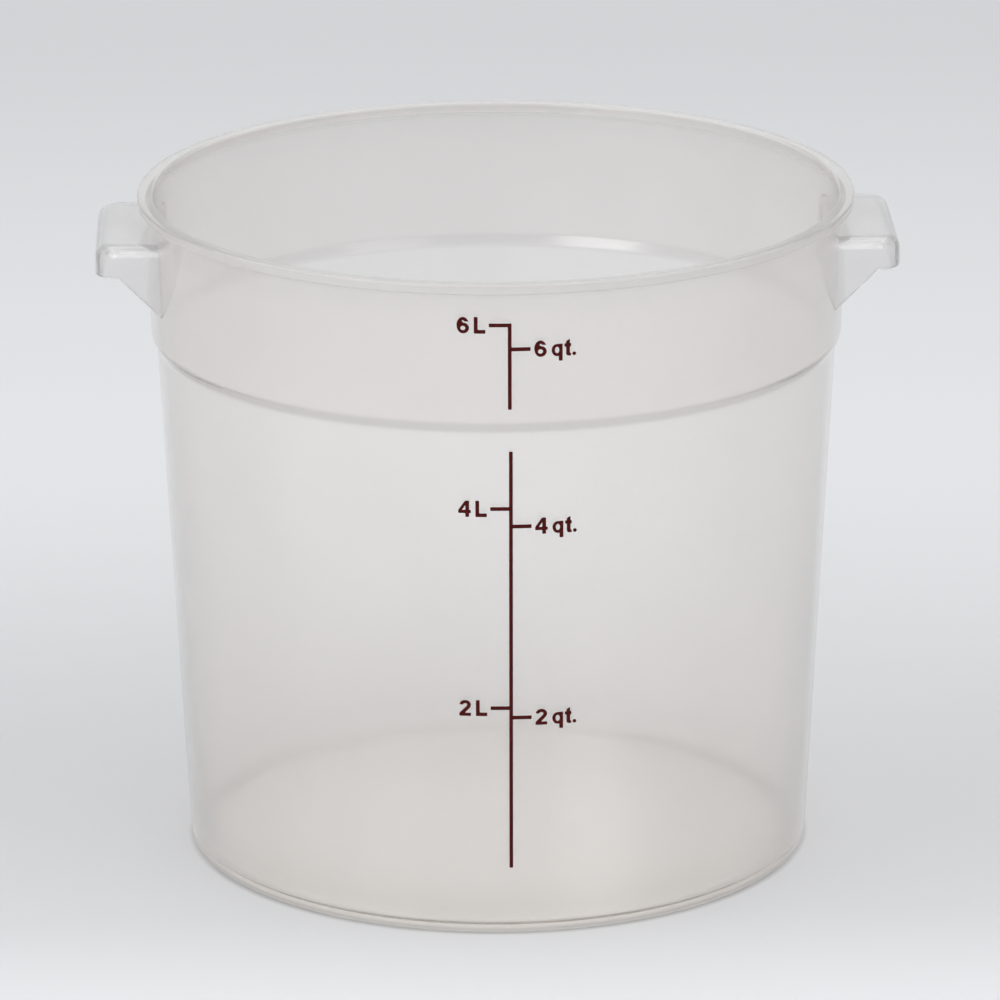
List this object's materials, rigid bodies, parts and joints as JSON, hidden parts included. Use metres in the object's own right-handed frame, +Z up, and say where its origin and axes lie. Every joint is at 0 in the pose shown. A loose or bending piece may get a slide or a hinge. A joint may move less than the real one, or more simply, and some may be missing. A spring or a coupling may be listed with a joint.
{
  "type": "food storage container",
  "caption": "Round open food storage tub in milky translucent plastic, with a shoulder, a rim lip, hollow grip ears and a printed volume scale.",
  "frame": {"origin": "centre of the base, on the surface that the container stands on", "axes": "+Z up along the tub's axis, +X through the right ear as seen from the printed scale, -Y towards the printed scale"},
  "size_m": [0.2454, 0.22, 0.208],
  "materials": {
    "tub_plastic": "milky translucent, satin",
    "ear_plastic": "milky translucent, satin",
    "ink": "dark maroon printed ink"
  },
  "bodies": {
    "root": {"container_body": "tub_plastic", "ear_left": "ear_plastic", "ear_right": "ear_plastic", "scale_upper_line": "ink", "scale_lower_line": "ink", "mark_6_litres_digit": "ink", "mark_6_litres_letter": "ink", "mark_6_quarts_digit": "ink", "mark_6_quarts_q": "ink", "mark_6_quarts_t": "ink", "mark_6_quarts_point": "ink", "mark_4_litres_digit": "ink", "mark_4_litres_letter": "ink", "mark_4_quarts_digit": "ink", "mark_4_quarts_q": "ink", "mark_4_quarts_t": "ink", "mark_4_quarts_point": "ink", "mark_2_litres_digit": "ink", "mark_2_litres_letter": "ink", "mark_2_quarts_digit": "ink", "mark_2_quarts_q": "ink", "mark_2_quarts_t": "ink", "mark_2_quarts_point": "ink"}
  },
  "joints": []
}
